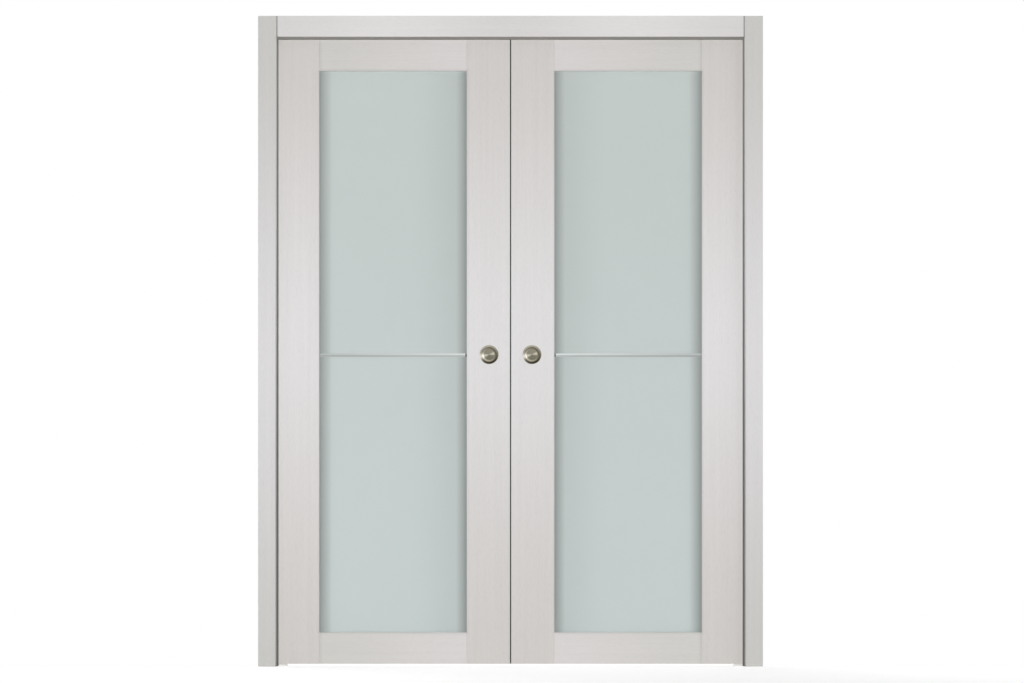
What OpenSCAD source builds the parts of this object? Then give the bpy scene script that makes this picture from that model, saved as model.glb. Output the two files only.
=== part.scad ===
// Double pocket door: two sliding leaves with frosted panes, split jambs, casings on both faces,
// and the overhead tracks that carry the leaves into the wall on either side.
// Millimetres. X runs along the wall, front faces -Y, Z is up, and the origin is on the floor
// at the line where the leaves meet, in the middle of the wall's thickness.

/* [Leaves] */
// Width of one leaf
leaf_w = 762; // [680:1:860]
// Height of one leaf
leaf_h = 2032; // [1960:1:2200]
// Thickness of one leaf
leaf_t = 40; // [38:1:44]
// Gap between the two leaves when they meet
meeting_gap = 3.5; // [2:0.5:6]
// Gap between the floor and the leaves
floor_gap = 7; // [6:0.5:10]
// Width of each stile
stile_w = 141; // [120:1:160]
// Height of the top and bottom rails
rail_h = 102; // [90:1:140]
// Radius of the eased outer edges of a leaf
arris_r = 1.2; // [0.5:0.1:2]
// Thickness of the seal between the leaves
meeting_seal_t = 6; // [4:0.5:7]
// Depth of the groove that holds the seal between the leaves
meeting_seal_d = 4; // [3:0.5:5]

/* [Glazing] */
// Thickness of a pane
pane_t = 6; // [5:0.5:8]
// Thickness of the gasket on each face of a pane
gasket_t = 2; // [1.5:0.25:2.5]
// Depth of the glazing groove in stiles and rails
groove_d = 12; // [10:0.5:16]
// How far a pane enters the groove
pane_bite = 9; // [7:0.5:9]
// Width of the bevel round the glass opening
bevel_w = 6; // [3:0.5:9]
// Depth of the bevel round the glass opening
bevel_d = 3; // [2:0.5:4]
// Height of the glazing bar's middle above the floor
bar_z = 1012; // [900:1:1150]
// Height of the glazing bar's flanges
bar_h = 11; // [8:0.5:20]
// Thickness of the web between the panes
bar_web = 2; // [1:0.5:3]
// Thickness of a flange at its edges
bar_flange = 1.6; // [1.2:0.1:2.5]
// Rise of the flange's crown over its edges
bar_crown = 1.4; // [0.6:0.1:2]

/* [Flush pulls] */
// Outer diameter of the pull's rim
pull_d = 61; // [55:0.5:66]
// Inner diameter of the finger cup
cup_d = 48; // [40:0.5:50]
// Depth of the finger cup behind the rim
cup_depth = 12; // [10:0.5:13]
// Thickness of the pull's metal
pull_wall = 1.3; // [1:0.1:1.5]
// How far the rim stands off the leaf
rim_t = 2.2; // [1.8:0.1:2.6]
// Distance from the meeting edge to the pull's middle
pull_inset = 68; // [60:1:75]
// Height of the pull's middle above the floor
pull_z = 1014; // [900:1:1150]

/* [Casing and jambs] */
// Thickness of the finished wall
wall_t = 116; // [112:1:140]
// Width of the casing legs
leg_w = 60; // [50:1:90]
// Height of the casing heads
head_h = 68; // [66:1:90]
// Thickness of the casings
casing_t = 16; // [12:0.5:20]
// Thickness of the split jamb boards
jamb_t = 20; // [18:0.5:25]
// Width of the pocket mouth between the split jambs
slot_w = 52; // [50:1:54]
// Gap between the top of a leaf and the head jambs
head_gap = 8; // [6:0.5:12]
// How far a closed leaf stays behind the jamb face
leaf_lap = 3.4; // [2:0.1:8]
// Thickness of the tongue that plugs a casing into its jamb
tongue_t = 5; // [4:0.5:6]
// Length of the tongue
tongue_l = 12; // [8:0.5:14]
// How far the side seals stand off the jamb face
seal_t = 4.8; // [3:0.1:6]
// Depth of a seal's holder
seal_d = 8; // [5:0.5:9]

/* [Track and header] */
// How far a leaf slides
travel = 650; // [560:1:660]
// Width of the track
track_w = 33; // [32:0.5:36]
// Height of the track
track_h = 30; // [29:0.5:34]
// Wall of the track
track_wall = 2.4; // [2:0.1:2.8]
// Width of the slot under the track
track_slot = 12; // [11:0.5:13]
// Space between the top of a leaf and the track
hanger_space = 13; // [12.5:0.5:16]
// Depth of the header board across the wall
header_d = 90; // [80:1:100]
// Thickness of the header board
header_t = 28; // [22:1:30]
// Free pocket length behind a fully opened leaf
pocket_spare = 16; // [10:1:40]
// Spacing of the screws along a track
screw_pitch = 320; // [250:10:500]

/* [Hangers] */
// Distance from a leaf's edge to the hanger's middle
hanger_inset = 80; // [75:1:95]
// Diameter of the wheels
wheel_d = 22; // [20:0.5:22]
// Width of a wheel
wheel_t = 6; // [5:0.25:6.5]
// Diameter of the axles
axle_d = 4; // [3:0.5:5]
// Distance between a carriage's two axles
axle_pitch = 44; // [42:1:50]
// Width of the carriage's bar between its wheels
carriage_t = 12; // [10:0.5:12]
// Diameter of the hanger bolt
bolt_d = 8; // [6:0.5:8]
// Length of the plate on top of the leaf
plate_l = 84; // [70:1:90]
// Width of the plate on top of the leaf
plate_w = 30; // [26:1:34]
// Thickness of the plate on top of the leaf
plate_t = 3; // [2.5:0.5:4]

/* [Stops and guides] */
// Length of the stop between the tracks
centre_stop_l = 60; // [50:1:64]
// Length of the stop at the far end of a track
end_stop_l = 40; // [30:1:50]
// Length of a rubber buffer
buffer_l = 16; // [10:1:16]
// Thickness of the guide's fin
fin_t = 5; // [4:0.5:6]
// Length of the guide's fin
fin_l = 34; // [26:1:40]
// Width of the groove under a leaf
kerf_w = 8; // [7:0.5:10]
// Depth of the groove under a leaf
kerf_d = 12; // [10:0.5:16]
// Thickness of the guide's base
guide_base_t = 3; // [2:0.5:4]
// Length of the guide's base along the wall
guide_base_l = 36; // [30:1:40]
// Width of the guide's base across the wall
guide_base_w = 40; // [36:1:48]
// Gauge of the steel end brackets
bracket_t = 2.5; // [2:0.5:3]
// Length of a bracket's foot on the header
bracket_foot = 60; // [50:1:80]

/* [Hidden] */
$fn = 48;
// Play between parts that fit without moving
fit = 0.2;
// Air between a moving part and its neighbour
air = 0.4;
// Air under a wheel
roll_gap = 0.3;
// Radial play of an axle in its bore
axle_play = 0.05;
// Overshoot of a cut past the face that it opens
eps = 1;
// Thickness of the slabs that a hull is stretched between
slab = 0.01;
// How far the meeting seal reaches into the other leaf, and the room round it there
seal_nose = 1.6;
seal_room = 1;
// Chamfer on the lips of the other seals
lip_cut = 1;
// Gap at each end of a casing head, and bevel at the ends of a rail
hairline = 0.3;
joint_v = 0.8;
// Radii of the track's corners, outside and inside
track_r = 1;
track_inner_r = 2;
// Screws of the track: thread, head, and the places of the first and the last
screw_d = 4;
screw_l = 22;
screw_head_r = 4;
screw_head_h = 1.8;
first_screw = 80;
last_screw_gap = 30;
// Holes through the stops, the guides and the brackets
stop_hole_d = 6;
guide_hole_d = 4.2;
guide_hole_w = 26;
bracket_hole_d = 5.5;
bracket_hole_w = 64;
bracket_hole_h = 14;
foot_hole_w = 36;
bracket_r = 6;
buffer_r = 7;
// Distance from the jamb's face to the guide's middle, and the room above its fin
guide_inset = 16;
fin_room = 4;
guide_r = 4;
// Radii of the pull's rim and lip, and of the fillet round its floor
rim_edge_r = 1.2;
rim_lip_r = 1.4;
cup_fillet = 3.5;

half_gap = meeting_gap / 2;
leaf_top = floor_gap + leaf_h;
glass_w = leaf_w - 2 * stile_w;
groove_w = pane_t + 2 * gasket_t;
bar_local_z = bar_z - floor_gap;
pull_local_z = pull_z - floor_gap;

jamb_x = half_gap + leaf_w - leaf_lap;
leg_x = jamb_x + leg_w;
wall_y = wall_t / 2;
slot_y = slot_w / 2;
face_y = leaf_t / 2;
head_z = leaf_top + head_gap;
casing_top = head_z + head_h;
tongue_x = jamb_t / 2;
seal_y = face_y + air;

track_z = leaf_top + hanger_space;
track_top = track_z + track_h;
header_top = track_top + header_t;
channel_top = track_top - track_wall;
wheel_r = wheel_d / 2;
axle_z = track_z + track_wall + roll_gap + wheel_r;
hub_step = 0.3;
wheel_y = carriage_t / 2 + hub_step + air;
hub_wall = 2;
hub_r = axle_d / 2 + hub_wall;
tread_t = 2.5;
tread_r = 1;
web_step = 1;
axle_end = 0.4;

carriage_nose = 2;
carriage_r = 3;
carriage_half = axle_pitch / 2 + wheel_r + carriage_nose;
inner_hanger = half_gap + hanger_inset;
outer_hanger = half_gap + leaf_w - hanger_inset;
stop_play = 0.5;
end_stop_x = outer_hanger + travel + carriage_half + stop_play + buffer_l;
header_half = half_gap + leaf_w + travel + pocket_spare;
centre_buffer_l = inner_hanger - carriage_half - stop_play - centre_stop_l / 2;
last_screw = end_stop_x - last_screw_gap;
screw_gaps = round((last_screw - first_screw) / screw_pitch);
guide_x = jamb_x - guide_inset;

carriage_z0 = axle_z - 7;
carriage_z1 = axle_z + 8;
boss_r = 12;
bolt_head_d = 14;
bolt_head_h = 6;
bolt_socket = 7;
bolt_socket_floor = 2.5;
bolt_sink = 0.6;
bolt_tail = 10;
pocket_air = 4;
nut_d = 15;
nut_h = 6.5;
plate_r = 6;
plate_hole_inset = 12;

// Points of an arc about c, from angle a0 to a1
function arc(c, r, a0, a1, n = 5) =
    [for (i = [0:n]) c + r * [cos(a0 + (a1 - a0) * i / n), sin(a0 + (a1 - a0) * i / n)]];

// A box from its lowest corner to its highest corner
module span(a, b) {
    translate(a) cube(b - a);
}

// A flat plate of length l and width w with round corners, its middle at the origin
module round_plate(l, w, r, t) {
    linear_extrude(t) union() {
        square([l - 2 * r, w], center = true);
        square([l, w - 2 * r], center = true);
        for (sx = [-1, 1], sy = [-1, 1]) translate([sx * (l / 2 - r), sy * (w / 2 - r)]) circle(r);
    }
}

// A profile drawn in Y and Z, carried along X from x0 to x1
module along_x(x0, x1) {
    translate([x0, 0, 0]) rotate([90, 0, 90]) linear_extrude(x1 - x0) children();
}

// Puts a piece on the right (side 1) or, mirrored, on the left (side -1)
module on_side(side) {
    if (side > 0) children();
    else mirror([1, 0, 0]) children();
}

// Puts a piece on the front (face -1) or, mirrored, on the back (face 1)
module on_face(face) {
    if (face < 0) children();
    else mirror([0, 1, 0]) children();
}

// Puts a piece drawn from the meeting edge and the leaf's foot into its closed leaf
module in_leaf(side) {
    on_side(side) translate([half_gap, 0, floor_gap]) children();
}

// Casing leg: a flat board with eased front edges and a tongue that plugs into the jamb below its head
module casing_leg(side, face) {
    y0 = -wall_y - casing_t;
    color("gainsboro") on_side(side) on_face(face) translate([jamb_x, 0, 0]) {
        linear_extrude(casing_top) polygon(concat(
            arc([arris_r, y0 + arris_r], arris_r, 180, 270),
            arc([leg_w - arris_r, y0 + arris_r], arris_r, 270, 360),
            [[leg_w, -wall_y], [0, -wall_y]]
        ));
        span([tongue_x - tongue_t / 2, -wall_y - eps, 0],
             [tongue_x + tongue_t / 2, -wall_y + tongue_l, head_z - fit]);
    }
}

// Casing head: the same board laid across between the legs
module casing_head(face) {
    y0 = -wall_y - casing_t;
    x1 = jamb_x - hairline;
    color("gainsboro") on_face(face) intersection() {
        along_x(-x1, x1) polygon(concat(
            arc([y0 + arris_r, head_z + arris_r], arris_r, 270, 180),
            arc([y0 + arris_r, casing_top - arris_r], arris_r, 180, 90),
            [
                [-wall_y, casing_top], [-wall_y, head_z + tongue_x + tongue_t / 2],
                [-wall_y + tongue_l, head_z + tongue_x + tongue_t / 2],
                [-wall_y + tongue_l, head_z + tongue_x - tongue_t / 2],
                [-wall_y, head_z + tongue_x - tongue_t / 2], [-wall_y, head_z]
            ]
        ));
        linear_extrude(casing_top) polygon(concat(
            arc([-x1 + arris_r, y0 + arris_r], arris_r, 180, 270),
            arc([x1 - arris_r, y0 + arris_r], arris_r, 270, 360),
            [[x1, 0], [-x1, 0]]
        ));
    }
}

// Side jamb: one of the four split boards that line the doorway, grooved for the casing
module side_jamb(side, face) {
    color("gainsboro") on_side(side) on_face(face) linear_extrude(head_z) translate([jamb_x, 0])
        jamb_section();
}

// Section of a split jamb, with its groove at the wall's face and an eased inner edge
module jamb_section() {
    difference() {
        polygon(concat(
            [[jamb_t, -slot_y], [jamb_t, -wall_y], [0, -wall_y]],
            arc([arris_r, -slot_y - arris_r], arris_r, 180, 90)
        ));
        translate([tongue_x - tongue_t / 2 - fit, -wall_y - eps])
            square([tongue_t + 2 * fit, tongue_l + fit + eps]);
    }
}

// Head jamb: a split board that reaches up to the header, beside the track
module head_jamb(face) {
    color("gainsboro") on_face(face) difference() {
        along_x(-jamb_x - jamb_t, jamb_x + jamb_t) polygon([
            [-wall_y, head_z], [-slot_y, head_z], [-slot_y, track_top], [-wall_y, track_top]
        ]);
        span([-leg_x, -wall_y - eps, head_z + tongue_x - tongue_t / 2 - fit],
             [leg_x, -wall_y + tongue_l + fit, head_z + tongue_x + tongue_t / 2 + fit]);
    }
}

// Seals of one face: two on the side jambs and one under the head jamb
module seals(face) {
    color("dimgray") on_face(face) {
        for (side = [-1, 1]) on_side(side) linear_extrude(head_z) polygon([
            [jamb_x, -slot_y - seal_d], [jamb_x, -slot_y], [jamb_x - lip_cut, -seal_y],
            [jamb_x - seal_t, -seal_y], [jamb_x - seal_t, -slot_y - seal_d]
        ]);
        along_x(-jamb_x + seal_t + fit, jamb_x - seal_t - fit) polygon([
            [-slot_y - seal_d, head_z], [-slot_y, head_z], [-seal_y, head_z - lip_cut],
            [-seal_y, leaf_top + air], [-slot_y - seal_d, leaf_top + air]
        ]);
    }
}

// Header board, the timber that carries both tracks across doorway and pockets
module header_board() {
    color("burlywood") difference() {
        span([-header_half, -header_d / 2, track_top], [header_half, header_d / 2, header_top]);
        for (x = screw_places()) translate([x, 0, track_top - eps])
            cylinder(d = screw_d + fit, h = screw_l + eps);
    }
}

// X of each screw of both tracks, evenly spaced from beside the centre stop to beside the end stop
function screw_places() = [
    for (side = [-1, 1], i = [0:screw_gaps]) side * (first_screw + i * (last_screw - first_screw) / screw_gaps)
];

// Track: an aluminium channel with a slot below and raised rails beside it
module track(side) {
    color("silver") difference() {
        on_side(side) along_x(0, header_half) track_section();
        for (x = screw_places()) translate([x, 0, channel_top - eps]) {
            cylinder(d = screw_d + 3 * fit, h = track_wall + 2 * eps);
        }
    }
}

// Section of the channel: a rounded tube with its slot cut through the bottom
module track_section() {
    difference() {
        round_section(track_w / 2, track_z, track_top, track_r);
        round_section(track_w / 2 - track_wall, track_z + track_wall, channel_top, track_inner_r);
        translate([-track_slot / 2, track_z - eps]) square([track_slot, track_wall + 2 * eps]);
    }
}

// A section of half width w, from height z0 to z1, with round corners
module round_section(w, z0, z1, r) {
    polygon(concat(
        arc([w - r, z0 + r], r, 270, 360), arc([w - r, z1 - r], r, 0, 90),
        arc([-w + r, z1 - r], r, 90, 180), arc([-w + r, z0 + r], r, 180, 270)
    ));
}

// A stop that fills the channel above its lips, with holes for its clamp screws
module stop_block(x0, x1, holes) {
    difference() {
        along_x(x0, x1)
            round_section(track_w / 2 - track_wall - fit, track_z + track_wall, channel_top - fit, track_inner_r);
        for (x = holes) translate([x, 0, track_z]) cylinder(d = stop_hole_d, h = track_h);
    }
}

// Centre stop: joins the two tracks and stops both leaves where they meet
module centre_stop() {
    l = centre_stop_l;
    color("slategray") stop_block(-l / 2, l / 2, [-l / 4, l / 4]);
}

// End stops: one block near the far end of each track
module end_stops() {
    color("slategray") for (side = [-1, 1]) on_side(side)
        stop_block(end_stop_x, end_stop_x + end_stop_l, [end_stop_x + end_stop_l / 2]);
}

// Rubber buffers on the stops, each a turned stub
module stop_buffers() {
    color("black") for (side = [-1, 1]) on_side(side) {
        translate([centre_stop_l / 2, 0, axle_z]) rotate([0, 90, 0]) buffer(centre_buffer_l, buffer_r);
        translate([end_stop_x, 0, axle_z]) rotate([0, -90, 0]) buffer(buffer_l, buffer_r);
    }
}

// A buffer of length l with a waist and a domed tip
module buffer(l, r) {
    rotate_extrude() polygon(concat(
        [[0, 0], [r, 0], [r, l * 0.2], [r * 0.75, l * 0.3], [r * 0.75, l * 0.5]],
        [for (i = [0:6]) [r * cos(i * 15), l * 0.6 + l * 0.4 * sin(i * 15)]]
    ));
}

// Section of a bracket: an upright plate folded over the header's top, with a round outside to the fold
module bracket_section() {
    foot_x = header_half - bracket_foot;
    polygon(concat(
        [[header_half, track_z], [header_half + bracket_t, track_z]],
        arc([header_half, header_top], bracket_t, 0, 90),
        [[foot_x, header_top + bracket_t], [foot_x, header_top], [header_half, header_top]]
    ));
}

// End brackets: folded steel angles on the ends of the header, screwed to the studs of the wall
module end_brackets() {
    mid_z = (track_z + track_top) / 2;
    color("lightgray") for (side = [-1, 1]) on_side(side) difference() {
        intersection() {
            translate([0, header_d / 2, 0]) rotate([90, 0, 0]) linear_extrude(header_d) bracket_section();
            union() {
                along_x(header_half - eps, header_half + bracket_t + eps)
                    round_section(header_d / 2, track_z, header_top + bracket_t, bracket_r);
                translate([header_half - bracket_foot / 2 + bracket_r, 0, header_top - bracket_t])
                    round_plate(bracket_foot + 2 * bracket_r, header_d * 2 / 3, bracket_r, 2 * bracket_t + eps);
            }
        }
        for (y = [-1, 1] * bracket_hole_w / 2, z = [-1, 1] * bracket_hole_h / 2)
            translate([header_half - eps, y, mid_z + z]) rotate([0, 90, 0])
                cylinder(d = bracket_hole_d, h = bracket_t + 2 * eps);
        for (y = [-1, 1] * foot_hole_w / 2) translate([header_half - bracket_foot / 2, y, header_top - eps])
            cylinder(d = bracket_hole_d, h = bracket_t + 2 * eps);
    }
}

// Screws that hold the tracks to the header
module track_screws() {
    r = screw_d / 2;
    color("silver") for (x = screw_places()) translate([x, 0, channel_top]) rotate_extrude() polygon([
        [0, -screw_head_h], [screw_head_r - 0.8, -screw_head_h], [screw_head_r, -screw_head_h + 0.6],
        [screw_head_r, 0], [r, 0], [r, screw_l - r], [0, screw_l]
    ]);
}

// Floor guides: a base on the floor and a fin that runs in the groove under the leaf
module floor_guides() {
    fin_h = floor_gap + kerf_d - fin_room - guide_base_t;
    color("white") for (side = [-1, 1]) on_side(side) translate([guide_x, 0, 0]) {
        difference() {
            round_plate(guide_base_l, guide_base_w, guide_r, guide_base_t);
            for (y = [-1, 1] * guide_hole_w / 2) translate([0, y, -eps])
                cylinder(d = guide_hole_d, h = guide_base_t + 2 * eps);
        }
        translate([0, 0, guide_base_t]) round_plate(fin_l, fin_t, fin_t / 2 - slab, fin_h);
    }
}

// The bevel round the glass opening, as a cut that widens towards the leaf's face
module opening_bevel() {
    for (s = [-1, 1]) hull() {
        bevel_slab(s, -bevel_d);
        bevel_slab(s, eps);
    }
}

// A thin slab of the bevel's cut, at depth d outside the leaf's face
module bevel_slab(s, d) {
    w = bevel_w * (d + bevel_d) / bevel_d;
    translate([stile_w - w, s * (face_y + d) - slab / 2, rail_h - w])
        cube([glass_w + 2 * w, slab, leaf_h - 2 * rail_h + 2 * w]);
}

// The groove that the floor guide runs in
module floor_kerf() {
    span([-eps, -kerf_w / 2, -eps], [leaf_w + eps, kerf_w / 2, kerf_d]);
}

// A stile from the leaf's edge at x = 0, with its glazing groove on the other edge
module stile_blank() {
    linear_extrude(leaf_h) difference() {
        polygon(concat(
            arc([arris_r, -face_y + arris_r], arris_r, 270, 180),
            arc([arris_r, face_y - arris_r], arris_r, 180, 90),
            [[stile_w, face_y], [stile_w, -face_y]]
        ));
        translate([stile_w - groove_d, -groove_w / 2]) square([groove_d + eps, groove_w]);
    }
}

// Clearance in a stile's top for the foot of the hanger bolt
module bolt_pocket() {
    depth = bolt_tail + pocket_air;
    translate([hanger_inset, 0, leaf_h - depth]) cylinder(d = bolt_d + 2, h = depth + eps);
}

// Groove in the meeting edge: the left leaf's holds the seal and the right leaf's takes its nose
module meeting_groove(side) {
    depth = side < 0 ? meeting_seal_d : seal_nose + seal_room;
    half = meeting_seal_t / 2 + (side < 0 ? fit : seal_room);
    span([-eps, -half, -eps], [depth, half, leaf_h + eps]);
}

// Meeting seal: a rubber strip in the left leaf, whose round nose closes the gap to the right leaf
module meeting_seal() {
    t = meeting_seal_t / 2;
    color("dimgray") in_leaf(-1) linear_extrude(leaf_h) polygon(concat(
        [[meeting_seal_d, -t], [meeting_seal_d, t]],
        arc([t - meeting_gap - seal_nose, 0], t, 90, 270, 8)
    ));
}

// Meeting stile: the one that holds the flush pulls
module meeting_stile(side) {
    color("whitesmoke") in_leaf(side) difference() {
        stile_blank();
        opening_bevel();
        floor_kerf();
        bolt_pocket();
        meeting_groove(side);
        for (s = [-1, 1]) translate([pull_inset, s * (face_y + eps), pull_local_z]) rotate([s * 90, 0, 0])
            cylinder(d = cup_d + 2 * pull_wall + 2 * fit, h = cup_depth + pull_wall + fit + eps);
    }
}

// Outer stile: the one that goes into the pocket first
module outer_stile(side) {
    color("whitesmoke") in_leaf(side) difference() {
        translate([leaf_w, 0, 0]) mirror([1, 0, 0]) {
            difference() {
                stile_blank();
                bolt_pocket();
            }
        }
        opening_bevel();
        floor_kerf();
    }
}

// A rail between the stiles: its tongues fill the stiles' grooves and its groove faces the glass
module rail_blank(z0, groove_z) {
    difference() {
        union() {
            translate([0, 0, z0]) linear_extrude(rail_h) rail_outline();
            span([stile_w - groove_d + fit, -groove_w / 2 + fit / 2, z0],
                 [leaf_w - stile_w + groove_d - fit, groove_w / 2 - fit / 2, z0 + rail_h]);
        }
        span([stile_w - groove_d, -groove_w / 2, groove_z], [leaf_w - stile_w + groove_d, groove_w / 2,
             groove_z + groove_d]);
    }
}

// Outline of a rail seen from above, its ends bevelled so that a fine V shows at the stiles
module rail_outline() {
    x0 = stile_w;
    x1 = leaf_w - stile_w;
    v = joint_v;
    polygon([
        [x0, -face_y + v], [x0 + v, -face_y], [x1 - v, -face_y], [x1, -face_y + v],
        [x1, face_y - v], [x1 - v, face_y], [x0 + v, face_y], [x0, face_y - v]
    ]);
}

module top_rail(side) {
    color("whitesmoke") in_leaf(side) difference() {
        rail_blank(leaf_h - rail_h, leaf_h - rail_h);
        opening_bevel();
    }
}

module bottom_rail(side) {
    color("whitesmoke") in_leaf(side) difference() {
        rail_blank(0, rail_h - groove_d);
        opening_bevel();
        floor_kerf();
    }
}

// A pane whose edges stand in the groove on three sides and in the bar on the fourth
module pane(side, z0, z1) {
    color("lightcyan") in_leaf(side)
        span([stile_w - pane_bite, -pane_t / 2, z0], [leaf_w - stile_w + pane_bite, pane_t / 2, z1]);
}

// Glazing bar: an aluminium section with a crowned flange on each face and a web between the panes
module glazing_bar(side) {
    crown_r = (bar_h * bar_h / 4 + bar_crown * bar_crown) / (2 * bar_crown);
    half_angle = asin(bar_h / 2 / crown_r);
    edge_y = pane_t / 2 + bar_flange;
    inner_y = pane_t / 2 + slab;
    color("lightgray") in_leaf(side) translate([0, 0, bar_local_z]) {
        for (s = [-1, 1]) along_x(stile_w + air, leaf_w - stile_w - air) scale([s, 1]) polygon(concat(
            [[inner_y, -bar_h / 2]],
            arc([edge_y + bar_crown - crown_r, 0], crown_r, -half_angle, half_angle, 10),
            [[inner_y, bar_h / 2]]
        ));
        span([stile_w - pane_bite, -pane_t / 2, -bar_web / 2],
             [leaf_w - stile_w + pane_bite, pane_t / 2, bar_web / 2]);
        span([stile_w + air, -inner_y - slab, -bar_web / 2],
             [leaf_w - stile_w - air, inner_y + slab, bar_web / 2]);
    }
}

// Glazing gasket: a frame of soft channel in the groove, round both panes
module glazing_gasket(side) {
    d = groove_d - fit;
    color("gray") in_leaf(side) difference() {
        span([stile_w - d, -groove_w / 2, rail_h - d], [leaf_w - stile_w + d, groove_w / 2, leaf_h - rail_h + d]);
        span([stile_w, -groove_w, rail_h], [leaf_w - stile_w, groove_w, leaf_h - rail_h]);
        span([stile_w - pane_bite, -pane_t / 2, rail_h - pane_bite],
             [leaf_w - stile_w + pane_bite, pane_t / 2, leaf_h - rail_h + pane_bite]);
    }
}

// Flush pull: a round spun cup with a rim that lies on the leaf's face
module flush_pull(side, face) {
    r = cup_d / 2;
    rim_r = pull_d / 2;
    corner = [r - cup_fillet, cup_fillet - cup_depth];
    color("darkkhaki") in_leaf(side) on_face(face)
        translate([pull_inset, -face_y, pull_local_z]) rotate([90, 0, 0]) rotate_extrude() polygon(concat(
            [[rim_r - rim_edge_r / 4, 0]],
            arc([rim_r - rim_edge_r, rim_t - rim_edge_r], rim_edge_r, 0, 90),
            arc([r + rim_lip_r, rim_t - rim_lip_r], rim_lip_r, 90, 180),
            arc(corner, cup_fillet, 0, -90, 6),
            [[0, -cup_depth], [0, -cup_depth - pull_wall]],
            arc(corner, cup_fillet + pull_wall, -90, 0, 6),
            [[r + pull_wall, 0]]
        ));
}

// The pair of places along a leaf where it hangs
module at_hangers(side) {
    for (x = [inner_hanger, outer_hanger]) on_side(side) translate([x, 0, 0]) children();
}

// Hanger plates: steel plates screwed to the top of the leaf
module hanger_plates(side) {
    color("silver") at_hangers(side) translate([0, 0, leaf_top]) difference() {
        round_plate(plate_l, plate_w, plate_r, plate_t);
        translate([0, 0, -eps]) cylinder(d = bolt_d + fit, h = plate_t + 2 * eps);
        for (s = [-1, 1]) translate([s * (plate_l / 2 - plate_hole_inset), 0, -eps])
            cylinder(d = screw_d + 3 * fit, h = plate_t + 2 * eps);
    }
}

// Hanger bolts: a round head in the carriage, a shank through the slot, and a nut on the plate
module hanger_bolts(side) {
    head_z0 = carriage_z1 - bolt_head_h - bolt_sink;
    color("gray") at_hangers(side) {
        translate([0, 0, head_z0]) difference() {
            cylinder(d = bolt_head_d, h = bolt_head_h);
            translate([0, 0, bolt_socket_floor]) cylinder(d = bolt_socket, h = bolt_head_h, $fn = 6);
        }
        translate([0, 0, leaf_top - bolt_tail]) cylinder(d = bolt_d, h = head_z0 - leaf_top + bolt_tail);
        translate([0, 0, leaf_top + plate_t]) difference() {
            cylinder(d = nut_d, h = nut_h, $fn = 6);
            translate([0, 0, -eps]) cylinder(d = bolt_d + fit, h = nut_h + 2 * eps);
        }
    }
}

// Carriage: a cast bar with a boss for the bolt and two cross bores for the axles
module carriage(side, x) {
    h = carriage_z1 - carriage_z0;
    color("dimgray") on_side(side) translate([x, 0, 0]) difference() {
        translate([0, 0, carriage_z0]) {
            round_plate(2 * carriage_half, carriage_t, carriage_r, h);
            cylinder(r = boss_r, h = h);
        }
        translate([0, 0, carriage_z0 - eps]) cylinder(d = bolt_d + fit, h = h + 2 * eps);
        translate([0, 0, carriage_z1 - bolt_head_h - bolt_sink])
            cylinder(d = bolt_head_d + 2 * fit, h = bolt_head_h + bolt_sink + eps);
        for (s = [-1, 1]) translate([s * axle_pitch / 2, -carriage_t, axle_z]) rotate([-90, 0, 0])
            cylinder(d = axle_d + 2 * axle_play, h = 2 * carriage_t);
    }
}

// Wheel pair: two crowned wheels pressed on one axle, turned about the axle's line
module wheel_pair(side, x, s) {
    color("ivory") on_side(side) translate([x + s * axle_pitch / 2, 0, axle_z]) rotate([90, 0, 0])
        rotate_extrude() wheel_section();
}

// Half section of a wheel pair: radius along X, axle along Y
module wheel_section() {
    y0 = wheel_y;
    y1 = wheel_y + wheel_t;
    wheel = concat(
        [[axle_d / 2, y0 - hub_step], [hub_r, y0 - hub_step], [hub_r, y0 + web_step]],
        [[wheel_r - tread_t, y0 + web_step], [wheel_r - tread_t, y0]],
        arc([wheel_r - tread_r, y0 + tread_r], tread_r, 270, 360, 3),
        arc([wheel_r - tread_r, y1 - tread_r], tread_r, 0, 90, 3),
        [[wheel_r - tread_t, y1], [wheel_r - tread_t, y1 - web_step], [hub_r, y1 - web_step], [hub_r, y1]],
        [[axle_d / 2, y1], [axle_d / 2, y1 + axle_end], [0, y1 + axle_end]]
    );
    polygon(concat(wheel, [for (i = [len(wheel) - 1:-1:0]) [wheel[i].x, -wheel[i].y]]));
}

casing_leg(-1, -1);  // casing_leg_front_left
casing_leg(1, -1);  // casing_leg_front_right
casing_head(-1);  // casing_head_front
casing_leg(-1, 1);  // casing_leg_back_left
casing_leg(1, 1);  // casing_leg_back_right
casing_head(1);  // casing_head_back
side_jamb(-1, -1);  // jamb_front_left
side_jamb(1, -1);  // jamb_front_right
side_jamb(-1, 1);  // jamb_back_left
side_jamb(1, 1);  // jamb_back_right
head_jamb(-1);  // head_jamb_front
head_jamb(1);  // head_jamb_back
seals(-1);  // seals_front
seals(1);  // seals_back
header_board();
track(-1);  // track_left
track(1);  // track_right
centre_stop();
end_stops();
stop_buffers();
end_brackets();
track_screws();
floor_guides();
meeting_seal();

for (side = [-1, 1]) {
    tail = side < 0 ? "_left" : "_right";
    meeting_stile(side);
    outer_stile(side);
    top_rail(side);
    bottom_rail(side);
    pane(side, bar_local_z + bar_web / 2, leaf_h - rail_h + pane_bite);
    pane(side, rail_h - pane_bite, bar_local_z - bar_web / 2);
    glazing_bar(side);
    glazing_gasket(side);
    flush_pull(side, -1);
    flush_pull(side, 1);
    hanger_plates(side);
    hanger_bolts(side);
    carriage(side, inner_hanger);
    carriage(side, outer_hanger);
    wheel_pair(side, inner_hanger, -1);
    wheel_pair(side, inner_hanger, 1);
    wheel_pair(side, outer_hanger, -1);
    wheel_pair(side, outer_hanger, 1);
}
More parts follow.
